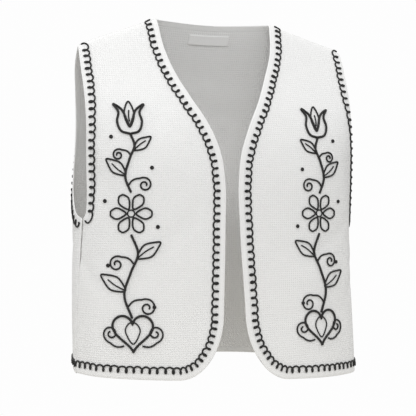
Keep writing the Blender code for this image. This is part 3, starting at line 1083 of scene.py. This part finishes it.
@dataclass
class EdgeRibbon:
    """A strip of the cloth beside one edge, measured along the edge and in from it."""

    form: TorsoForm
    face: Face
    edge: Array
    towards: Array
    reach: float = 0.0300
    levels: int = 20
    spacing: float = 0.0020

    def __post_init__(self) -> None:
        """Walks the strip in from the edge, level by level."""
        form, face = self.form, self.face
        length = lengths_along(form.point(face, self.edge[:, 0], self.edge[:, 1]))
        self.length = float(length[-1])
        at = np.linspace(0.0, self.length, max(int(self.length / self.spacing), 8) + 1)
        places = np.stack([np.interp(at, length, self.edge[:, 0]), np.interp(at, length, self.edge[:, 1])], axis=-1)
        self.at = at
        step = self.reach / self.levels
        self.table = [places]
        inward = None
        for _ in range(self.levels):
            points = form.point(face, places[:, 0], places[:, 1])
            normals = form.outward(face, places)
            if inward is None:
                ahead = unit(np.gradient(points, axis=0))
                inward = unit(np.cross(normals, ahead))
                centre = form.point(face, self.towards[0], self.towards[1])
                if float(np.sum((centre - points) * inward)) < 0:
                    inward = -inward
            inward = unit(inward - normals * np.sum(inward * normals, axis=1, keepdims=True))
            by_turn, by_height = form.slopes(face, places)
            g11 = np.sum(by_turn**2, axis=1)
            g12 = np.sum(by_turn * by_height, axis=1)
            g22 = np.sum(by_height**2, axis=1)
            b1 = np.sum(by_turn * inward, axis=1) * step
            b2 = np.sum(by_height * inward, axis=1) * step
            det = g11 * g22 - g12**2
            move = np.stack([(b1 * g22 - b2 * g12) / det, (b2 * g11 - b1 * g12) / det], axis=-1)
            places = places + move
            top = form.shoulder_height(form.point(face, places[:, 0], places[:, 1])[:, 0]) - 1e-5
            places[:, 1] = np.minimum(places[:, 1], top)
            self.table.append(places)

    def places(self, along: Array, inset: Array) -> Array:
        """The places a length along the edge and an inset in from it.

        Args:
            along: lengths along the edge.
            inset: distances in from it.

        Returns:
            (turn, z) rows.
        """
        table = np.array(self.table)
        row = np.clip(inset / self.reach * self.levels, 0, self.levels - 1e-6)
        column = np.clip(along / self.length * (len(self.at) - 1), 0, len(self.at) - 1.000001)
        r, c = row.astype(int), column.astype(int)
        fr, fc = (row - r)[:, None], (column - c)[:, None]
        low = table[r, c] * (1 - fc) + table[r, c + 1] * fc
        high = table[r + 1, c] * (1 - fc) + table[r + 1, c + 1] * fc
        return low * (1 - fr) + high * fr


@dataclass(frozen=True)
class LoopedScallops:
    """The edging: one cord laid in arcs that bulge into the panel, with a small loop at each cusp."""

    margin: float = 0.0098
    armhole_margin: float = 0.0068
    depth: float = 0.0078
    pitch: float = 0.0106
    swing: float = 0.00310
    wander: float = 0.00035
    flutter: float = 0.00025
    drift: float = 0.0003
    knot_pull: float = 0.0009
    step: float = 0.00085
    weight: CordWeight = CordWeight.EDGE

    def work(self, layer: CordLayer, ribbon: EdgeRibbon, seam_keep: float, margin: float) -> None:
        """Lays the edging along one strip.

        Args:
            layer: where the cord goes.
            ribbon: the strip beside the edge.
            seam_keep: how far the cord stays from the strip's ends.
            margin: plain cloth between the edge and the loops.
        """
        first, last = 2 * seam_keep, ribbon.length - 2 * seam_keep
        loops = max(int(round((last - first) / self.pitch)), 2)
        pitch = (last - first) / loops
        fine = max(int(pitch * 2.6 / self.step), 12)
        phase = np.linspace(0.0, 2 * math.pi * loops, loops * fine + 1)
        uneven = self.wander * np.sin(phase * 0.37 + 1.0) + self.flutter * np.sin(phase * 0.83)
        along = first + pitch * phase / (2 * math.pi) - self.swing * np.sin(phase) + uneven
        inset = margin + self.depth * (1 - np.cos(phase)) / 2 + self.drift * np.sin(phase * 0.29)
        inset = inset - self.knot_pull * np.clip(np.cos(phase) - 0.6, 0.0, 1.0)
        along = np.clip(along, seam_keep, ribbon.length - seam_keep)
        places = ribbon.places(along, inset)
        radius = self.weight.value
        rise = radius * (0.72 + 0.55 * np.clip(np.sin(phase + 0.6) * np.clip(np.cos(phase), 0, 1), 0, 1))
        points = ribbon.form.cloth_point(ribbon.face, places, rise)
        layer.lay(points, ribbon.form.outward(ribbon.face, places), radius)


@dataclass(frozen=True)
class EdgeStitches:
    """A row of short white stitches beside a turned edge, on both sides of the cloth."""

    inset: float = 0.0024
    stitch: float = 0.0025
    gap: float = 0.0010
    radius: float = 0.00026
    cloth: float = 0.0018
    dip: float = 0.00020
    stand: float = 0.00008
    bare_end: float = 0.002

    def work(self, layer: CordLayer, ribbon: EdgeRibbon) -> None:
        """Sews the row along one strip.

        Args:
            layer: where the stitches go.
            ribbon: the strip beside the edge.
        """
        pitch = self.stitch + self.gap
        form, face = ribbon.form, ribbon.face
        sink = np.array([-self.dip, self.stand, self.stand, -self.dip])
        for outside in (True, False):
            shift = self.bare_end if outside else self.bare_end + pitch / 2
            starts = np.arange(shift, ribbon.length - self.stitch - self.bare_end, pitch)
            along = starts[:, None] + np.linspace(0.0, self.stitch, 4)[None]
            flat = ribbon.places(along.ravel(), np.full(along.size, self.inset))
            places = flat.reshape(*along.shape, 2)
            above = np.broadcast_to(sink if outside else -self.cloth - sink, along.shape)
            points, normals = form.cloth_point(face, places, above), form.outward(face, places)
            for line, directions in zip(points, normals):
                layer.lay(line, directions, self.radius)


@dataclass(frozen=True)
class Stroke:
    """One line of the chart, in metres across and up, with its cord."""

    points: Array
    weight: CordWeight
    closed: bool = False


@dataclass
class SprigChart:
    """A plain folk sprig drawn for this vest: a heart, a winding stem with leaves, a rosette and a tulip."""

    strokes: list[Stroke] = field(default_factory=list)

    def add(self, points: Array, weight: CordWeight, closed: bool = False) -> None:
        """Adds one line to the chart."""
        self.strokes.append(Stroke(np.asarray(points, dtype=float), weight, closed))

    @staticmethod
    def curve(knots: list[tuple[float, float]], closed: bool = False, per: int = 14) -> Array:
        """Runs a smooth line through its knots.

        Args:
            knots: the points to pass, in metres.
            closed: whether it returns to its start.
            per: points for each stretch between knots.

        Returns:
            The line's points.
        """
        pts = np.array(knots, dtype=float)
        if closed:
            pts = np.concatenate([pts[-1:], pts, pts[:2]])
        else:
            pts = np.concatenate([2 * pts[:1] - pts[1:2], pts, 2 * pts[-1:] - pts[-2:-1]])
        t = np.linspace(0.0, 1.0, per, endpoint=False)[:, None]
        runs = []
        for a, b, c, d in zip(pts, pts[1:], pts[2:], pts[3:]):
            runs.append(
                0.5 * (2 * b + (c - a) * t + (2 * a - 5 * b + 4 * c - d) * t**2 + (3 * b - a - 3 * c + d) * t**3)
            )
        line = np.concatenate(runs)
        return line if closed else np.concatenate([line, pts[-2:-1]])

    @staticmethod
    def placed(points: Array, at: tuple[float, float], angle: float, mirror: bool = False) -> Array:
        """Points turned by an angle in degrees from upright, moved to a place, and mirrored first if asked.

        Args:
            points: the points.
            at: the place they move to.
            angle: degrees from upright.
            mirror: whether they are mirrored first.

        Returns:
            The placed points.
        """
        points = np.asarray(points, dtype=float) * np.array([-1.0 if mirror else 1.0, 1.0])
        c, s = math.cos(math.radians(angle)), math.sin(math.radians(angle))
        return np.stack([points[:, 0] * c + points[:, 1] * s, -points[:, 0] * s + points[:, 1] * c], axis=-1) + at

    def leaf(self, at: tuple[float, float], angle: float, length: float, width: float) -> None:
        """A pointed leaf with a midrib, growing from a place at an angle from upright.

        Args:
            at: the place it grows from.
            angle: degrees from upright.
            length: its length.
            width: its width.
        """
        w, t = width / 2, length
        outline = self.curve([(0, 0), (w * 0.8, t * 0.28), (w, t * 0.52), (w * 0.5, t * 0.82), (0, t),
                              (-w * 0.5, t * 0.82), (-w, t * 0.52), (-w * 0.8, t * 0.28)], True, 7)
        self.add(self.placed(outline, at, angle), CordWeight.EDGE, True)
        rib = self.curve([(0, 0.001), (w * 0.12, t * 0.4), (0, t * 0.72)])
        self.add(self.placed(rib, at, angle), CordWeight.FINE)

    def tendril(self, at: tuple[float, float], angle: float, size: float, mirror: bool) -> None:
        """A tendril that ends in a curl.

        Args:
            at: the place it grows from.
            angle: degrees from upright.
            size: its length.
            mirror: whether it curls the other way.
        """
        t = np.linspace(0.0, 1.0, 60)
        swing = math.radians(520) * t**1.25
        radius = size * 0.36 * (1 - 0.80 * t)
        curl = np.stack([np.cos(swing) * radius, np.sin(swing) * radius], axis=-1)
        curl = curl - curl[0] + np.array([0.0, size * 0.62])
        stem = np.stack([0.10 * size * np.sin(np.linspace(0, math.pi, 16)), np.linspace(0, size * 0.60, 16)], axis=-1)
        self.add(self.placed(np.concatenate([stem, curl]), at, angle, mirror), CordWeight.EDGE)

    def heart(self, at: tuple[float, float], size: float) -> None:
        """A heart with a smaller drop inside.

        Args:
            at: its middle.
            size: its width.
        """
        t = np.linspace(0.0, 2 * math.pi, 96, endpoint=False)
        x = 16 * np.sin(t) ** 3
        y = 13 * np.cos(t) - 5 * np.cos(2 * t) - 2 * np.cos(3 * t) - np.cos(4 * t)
        shape = np.stack([x, y], axis=-1) * size / 34
        self.add(shape + at, CordWeight.BOLD, True)
        drop = self.curve([(0, -0.30), (0.17, -0.02), (0.10, 0.16), (0, 0.19), (-0.10, 0.16), (-0.17, -0.02)], True, 9)
        self.add(drop * size + at, CordWeight.FINE, True)

    def rosette(self, at: tuple[float, float], size: float, petals: int = 6) -> None:
        """A round flower with closed petals and a ringed eye.

        Args:
            at: its middle.
            size: its radius.
            petals: how many petals it has.
        """
        for index in range(petals):
            petal = self.curve([(0, 0.24), (0.20, 0.50), (0.26, 0.74), (0.13, 0.97), (0, 1.0),
                                (-0.13, 0.97), (-0.26, 0.74), (-0.20, 0.50)], True, 6)
            self.add(self.placed(petal * size, at, 360 / petals * (index + 0.5)), CordWeight.EDGE, True)
        t = np.linspace(0.0, 2 * math.pi, 26, endpoint=False)
        ring = np.stack([np.cos(t), np.sin(t)], axis=-1)
        self.add(ring * size * 0.17 + at, CordWeight.FINE, True)

    def tulip(self, at: tuple[float, float], size: float) -> None:
        """A tulip head with two outer petals and a middle one.

        Args:
            at: the place it grows from.
            size: its height.
        """
        for hand in (-1.0, 1.0):
            side = self.curve([(0, 0), (0.30, 0.10), (0.42, 0.42), (0.36, 0.76), (0.52, 1.04),
                               (0.24, 0.84), (0.11, 0.52), (0.0, 0.22)])
            self.add(side * np.array([hand, 1.0]) * size + at, CordWeight.BOLD)
        middle = self.curve([(0, 0.24), (0.16, 0.60), (0.13, 0.90), (0, 1.14), (-0.13, 0.90), (-0.16, 0.60)], True, 9)
        self.add(middle * size + at, CordWeight.EDGE, True)
        self.add(self.curve([(0, 0.42), (0.02, 0.62), (0, 0.84)]) * size + at, CordWeight.FINE)

    def seed(self, at: tuple[float, float], size: float = 0.0016) -> None:
        """A small knot of cord."""
        t = np.linspace(0.0, 2 * math.pi, 12, endpoint=False)
        self.add(np.stack([np.cos(t), np.sin(t)], axis=-1) * size + at, CordWeight.EDGE, True)

    def draw(self) -> list[Stroke]:
        """Draws the whole sprig, its foot at (0, 0), and returns its lines.

        Returns:
            The lines.
        """
        self.heart((0.0, 0.030), 0.058)
        lower = [(0.0, 0.047), (0.010, 0.078), (0.001, 0.108), (-0.009, 0.134), (0.0, 0.160)]
        upper = [(0.0, 0.216), (0.008, 0.238), (0.002, 0.262), (-0.005, 0.280), (0.0, 0.296)]
        for stem in (lower, upper):
            self.add(self.curve(stem), CordWeight.BOLD)
        self.leaf((0.0085, 0.084), 58, 0.040, 0.019)
        self.leaf((-0.0080, 0.128), -56, 0.038, 0.018)
        self.leaf((0.0075, 0.240), 50, 0.034, 0.016)
        self.leaf((-0.0040, 0.274), -52, 0.030, 0.014)
        self.tendril((0.0055, 0.062), -62, 0.036, False)
        self.tendril((-0.0030, 0.120), 60, 0.032, True)
        self.tendril((0.0035, 0.226), -58, 0.030, False)
        self.tendril((0.0, 0.266), 56, 0.024, True)
        self.tendril((-0.012, 0.010), -78, 0.034, True)
        self.tendril((0.012, 0.010), 78, 0.034, False)
        self.rosette((0.0, 0.188), 0.028)
        self.tulip((0.0, 0.296), 0.040)
        for left, right in (
            ((-0.030, 0.062), (0.032, 0.118)),
            ((-0.036, 0.170), (0.036, 0.205)),
            ((-0.028, 0.250), (0.026, 0.292)),
        ):
            self.seed(left)
            self.seed(right)
        return self.strokes


@dataclass
class VestPanel:
    """One sewn panel: its cloth, looped edging, stitches and, on a front, its sprig."""

    cut: VestCut
    name: str
    face: Face
    grid: Array
    cotton: bpy.types.Material
    cord: bpy.types.Material
    thread: bpy.types.Material
    pieces: list[bpy.types.Object] = field(default_factory=list)

    def ribbon(self, edge: Array) -> EdgeRibbon:
        """The strip of cloth beside one of the panel's edges."""
        rows, columns = self.grid.shape[:2]
        return EdgeRibbon(self.cut.form, self.face, edge, self.grid[rows // 3, columns // 2])

    def build(self, edges: list[Array], flat: tuple[float, float]) -> bpy.types.Object:
        """Builds and dresses the panel.

        Args:
            edges: its turned edges, each as (turn, z) rows.
            flat: width and length of the cut, in metres.

        Returns:
            The cloth.
        """
        form = self.cut.form
        rims = [form.cloth_point(self.face, edge, -0.0009) for edge in edges]
        shell = ClothShell(form, self.face, self.grid)
        cloth = shell.mesh(f"{self.name}_cloth", self.cotton, np.concatenate(rims))
        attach(cloth, "root")
        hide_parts(self.name)
        edging, stitches = CordLayer(), CordLayer(sides=4)
        loops = LoopedScallops()
        for number, edge in enumerate(edges):
            ribbon = self.ribbon(edge)
            margin = loops.armhole_margin if number in (1, 2) else loops.margin
            loops.work(edging, ribbon, 0.0013, margin)
            EdgeStitches().work(stitches, ribbon)
        self.keep(edging.piece(f"{self.name}_edging", self.cord))
        self.keep(stitches.piece(f"{self.name}_stitches", self.thread))
        LOG.info("%s: cloth, %.2f m of edging cord, stitches", self.name, edging.length)
        self.area = self.outer_area()
        self.flat = flat
        return cloth

    def keep(self, piece: bpy.types.Object) -> None:
        """Keeps a piece that is sewn to this panel."""
        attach(piece, "root")
        self.pieces.append(piece)

    def outer_area(self) -> float:
        """Area of the cloth's outer side, in square metres.

        Returns:
            The area.
        """
        points = self.cut.form.cloth_point(self.face, self.grid)
        a = points[1:, 1:] - points[:-1, :-1]
        b = points[1:, :-1] - points[:-1, 1:]
        return float(np.linalg.norm(np.cross(a, b), axis=-1).sum() / 2)

    def embroider(self, side: Side, across: float, foot: float) -> None:
        """Lays the sprig on a front.

        Args:
            side: the front's side, which the sprig mirrors.
            across: distance of its stem from the centre line, along the cloth.
            foot: height of its foot.
        """
        layer = CordLayer(sides=8)
        form = self.cut.form
        for number, stroke in enumerate(SprigChart().draw()):
            line = stroke.points
            if stroke.closed:
                line = np.concatenate([line, line[:1]])
            walked = lengths_along(line)
            count = max(int(walked[-1] / 0.0009), 8)
            at = np.linspace(0.0, walked[-1], count, endpoint=not stroke.closed)
            line = np.stack([np.interp(at, walked, line[:, 0]), np.interp(at, walked, line[:, 1])], axis=-1)
            places = form.place_of(self.face, side * (across + line[:, 0]), foot + line[:, 1])
            radius = stroke.weight.value
            points = form.cloth_point(self.face, places, radius * (0.70 + 0.06 * (number % 3)))
            layer.lay(points, form.outward(self.face, places), radius, stroke.closed)
        self.keep(layer.piece(f"{self.name}_sprig", self.cord))
        LOG.info("%s: sprig, %.2f m of cord", self.name, layer.length)


@dataclass
class NeckLabel:
    """The blank label sewn inside the back neck."""

    cut: VestCut
    half_width: float = 0.0310
    top: float = -0.0150
    bottom: float = -0.0285
    tape: float = 0.0010
    columns: int = 48
    rows: int = 12
    cloth: float = 0.0018
    gap: float = 0.0003

    def grid(self) -> Array:
        """The (turn, z) grid of the label.

        Returns:
            The grid of places.
        """
        x, z = np.meshgrid(
            np.linspace(-self.half_width, self.half_width, self.columns + 1),
            np.linspace(self.bottom, self.top, self.rows + 1),
        )
        return np.stack([self.cut.form.turn_at(x, z), z], axis=-1)

    def build(self, tape: bpy.types.Material, thread: bpy.types.Material) -> bpy.types.Object:
        """Builds the label and the stitches that hold its top edge and ends.

        Args:
            tape: the label's finish.
            thread: the stitches' finish.

        Returns:
            The label.
        """
        form, grid = self.cut.form, self.grid()
        depth = self.cloth + self.gap
        shell = ClothShell(form, Face.BACK, grid, thickness=self.tape, lift=-depth)
        label = shell.mesh("neck_label_tape", tape, None)
        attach(label, "root")
        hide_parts("neck_label")
        layer = CordLayer(sides=5)
        for x0, z0, x1, z1 in self.stitch_rows():
            steps = max(int(math.hypot(x1 - x0, z1 - z0) / 0.0024), 1)
            for index in range(steps):
                share = (index + np.linspace(0.12, 0.80, 5)) / steps
                x, z = x0 + (x1 - x0) * share, z0 + (z1 - z0) * share
                places = np.stack([form.turn_at(x, z), z], axis=-1)
                sink = np.array([0.0002, -0.0001, -0.0001, -0.0001, 0.0002])
                points = form.cloth_point(Face.BACK, places, -depth - self.tape + sink)
                layer.lay(points, form.outward(Face.BACK, places), 0.00022)
        stitches = layer.piece("neck_label_stitches", thread)
        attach(stitches, "root")
        LOG.info("neck label: blank tape with its stitches")
        return label

    def stitch_rows(self) -> list[tuple[float, float, float, float]]:
        """Rows of stitches as straight lines from (x, z) to (x, z)."""
        w, t, b = self.half_width - 0.0014, self.top - 0.0013, self.bottom + 0.0013
        return [(-w, t, w, t), (-w, b, -w, t), (w, b, w, t)]


@dataclass
class FolkVest:
    """The whole vest."""

    front_columns: int = 62
    front_rows: int = 150
    back_columns: int = 120
    back_rows: int = 140
    sprig_foot: float = -0.4700
    sprig_left: float = 0.1400
    sprig_right: float = 0.1330

    def __post_init__(self) -> None:
        """Settles the form, the cut and the finishes."""
        self.form = TorsoForm()
        self.cut = VestCut(self.form)
        self.cotton, self.cord, self.thread = PiqueCotton().make(), BlackCord().make(), WhiteThread().make()

    def armhole(self, face: Face, side: Side) -> Array:
        """The armhole part of one panel's outer edge, from the underarm to the tip."""
        return self.cut.outer_edge(face, side)[self.cut.edge_steps - 1 :]

    def front(self, side: Side) -> VestPanel:
        """Makes one front.

        Args:
            side: left or right.

        Returns:
            The dressed panel.
        """
        grid = self.cut.front_grid(side, self.front_columns, self.front_rows)
        fine = self.cut.front_grid(side, 120, 300)
        open_edge = np.concatenate([fine[::-1, 0], fine[0, 1:]])
        panel = VestPanel(self.cut, f"front_{side.word}", Face.FRONT, grid, self.cotton, self.cord, self.thread)
        flat = (0.231, 0.530) if side == Side.LEFT else (0.246, 0.540)
        cloth = panel.build([open_edge, self.armhole(Face.FRONT, side)], flat)
        panel.embroider(side, self.sprig_left if side == Side.LEFT else self.sprig_right, self.sprig_foot)
        self.declare(cloth, panel)
        return panel

    def back(self) -> VestPanel:
        """Makes the back.

        Returns:
            The dressed panel.
        """
        cut = self.cut
        grid = cut.back_grid(self.back_columns, self.back_rows)
        panel = VestPanel(cut, "back", Face.BACK, grid, self.cotton, self.cord, self.thread)
        hem = cut.hem_edge(Face.BACK, grid[0, 0, 0], grid[0, -1, 0])
        edges = [hem, self.armhole(Face.BACK, Side.LEFT), self.armhole(Face.BACK, Side.RIGHT), cut.back_neck()]
        self.declare(panel.build(edges, (0.565, 0.530)), panel)
        return panel

    def declare(self, cloth: bpy.types.Object, panel: VestPanel) -> None:
        """Logs the area of one panel's outer side."""
        LOG.info("%s: %.4f square metres", panel.name, panel.area)


@dataclass(frozen=True)
class Studio:
    """A pale floor, soft light and the camera at the photograph's angle."""

    azimuth: float = -16.0
    distance: float = 1.400
    target_z: float = -0.2745
    focal_pixels: float = 952.0
    image_pixels: float = 416.0
    centre_pixel: float = 214.0
    floor_z: float = -0.760
    floor_radius: float = 0.740

    def camera(self) -> bpy.types.Object:
        """Sets the camera level with the middle of the vest, a little to its right front.

        Returns:
            The camera.
        """
        angle = math.radians(self.azimuth)
        data = bpy.data.cameras.new("camera")
        data.sensor_width = 36.0
        data.sensor_fit = "HORIZONTAL"
        data.lens = self.focal_pixels / self.image_pixels * data.sensor_width
        data.shift_x = (self.image_pixels / 2 - self.centre_pixel) / self.image_pixels
        made = bpy.data.objects.new("camera", data)
        made.location = (self.distance * math.sin(angle), -self.distance * math.cos(angle), self.target_z)
        made.rotation_euler = (math.pi / 2, 0.0, angle)
        bpy.context.scene.collection.objects.link(made)
        bpy.context.scene.camera = made
        return made

    def light(self, name: str, place: tuple[float, float, float], size: float, watts: float) -> None:
        """Adds one square soft light that faces the vest.

        Args:
            name: its name.
            place: where it stands.
            size: its side in metres.
            watts: its power.
        """
        data = bpy.data.lights.new(name, "AREA")
        data.shape, data.size, data.energy = "SQUARE", size, watts
        made = bpy.data.objects.new(name, data)
        made.location = place
        away = np.array(place) - np.array([0.0, 0.0, -0.25])
        heading = math.atan2(away[1], away[0])
        pitch = math.atan2(math.hypot(away[0], away[1]), away[2])
        made.rotation_euler = (pitch, 0.0, heading + math.pi / 2)
        bpy.context.scene.collection.objects.link(made)

    def floor(self) -> None:
        """Lays a wide round floor under the vest."""
        t = np.linspace(0.0, 2 * math.pi, 96, endpoint=False)
        points = np.concatenate(
            [
                np.stack([r * np.cos(t), r * np.sin(t), np.full_like(t, self.floor_z)], axis=-1)
                for r in (0.4 * self.floor_radius, 0.8 * self.floor_radius, self.floor_radius)
            ]
        )
        faces: list[tuple[int, ...]] = [tuple(range(96))]
        for ring in (0, 96):
            faces += [(ring + i, ring + 96 + i, ring + 96 + (i + 1) % 96, ring + (i + 1) % 96) for i in range(96)]
        mesher = Mesher()
        mesher.extend(points, faces, points[:, :2])
        mesher.piece("floor", PaleFloor().make(), "floor")

    def room(self, seen: float, overhead: float, below: float) -> None:
        """Sets the near-white room.

        Args:
            seen: how bright the backdrop is.
            overhead: how bright the light from above is.
            below: how bright the light from below is.
        """
        world = bpy.data.worlds.new("pale room")
        world.use_nodes = True
        tree = world.node_tree
        backdrop = tree.nodes["Background"]
        backdrop.inputs["Color"].default_value = (1.0, 1.0, 1.0, 1.0)
        backdrop.inputs["Strength"].default_value = seen
        height = tree.nodes.new("ShaderNodeSeparateXYZ")
        tree.links.new(tree.nodes.new("ShaderNodeTexCoord").outputs["Generated"], height.inputs[0])
        level = tree.nodes.new("ShaderNodeMapRange")
        for name, value in (("From Min", -0.7), ("From Max", 0.8), ("To Min", below), ("To Max", overhead)):
            level.inputs[name].default_value = value
        tree.links.new(height.outputs[2], level.inputs["Value"])
        soft = tree.nodes.new("ShaderNodeBackground")
        soft.inputs["Color"].default_value = (1.0, 1.0, 0.99, 1.0)
        tree.links.new(level.outputs[0], soft.inputs["Strength"])
        choice = tree.nodes.new("ShaderNodeMixShader")
        tree.links.new(tree.nodes.new("ShaderNodeLightPath").outputs["Is Camera Ray"], choice.inputs[0])
        tree.links.new(soft.outputs[0], choice.inputs[1])
        tree.links.new(backdrop.outputs[0], choice.inputs[2])
        tree.links.new(choice.outputs[0], tree.nodes["World Output"].inputs["Surface"])
        bpy.context.scene.world = world

    def build(self) -> None:
        """Sets up the whole studio."""
        bpy.context.scene.view_settings.view_transform = "Standard"
        self.camera()
        self.floor()
        self.room(seen=0.985, overhead=1.30, below=0.08)
        self.light("key", (-0.45, -1.75, 0.70), 1.0, 13.5)
        self.light("left fill", (-1.9, 0.0, 0.6), 1.0, 4.5)
        LOG.info("studio: camera, floor and light")


def main() -> None:
    """Builds the studio and the vest."""
    logging.basicConfig(level=logging.INFO, format="%(name)s %(message)s")
    Studio().build()
    vest = FolkVest()
    vest.back()
    for side in Side:
        vest.front(side)
    NeckLabel(vest.cut).build(LabelTape().make(), vest.thread)


if __name__ == "__main__":
    main()
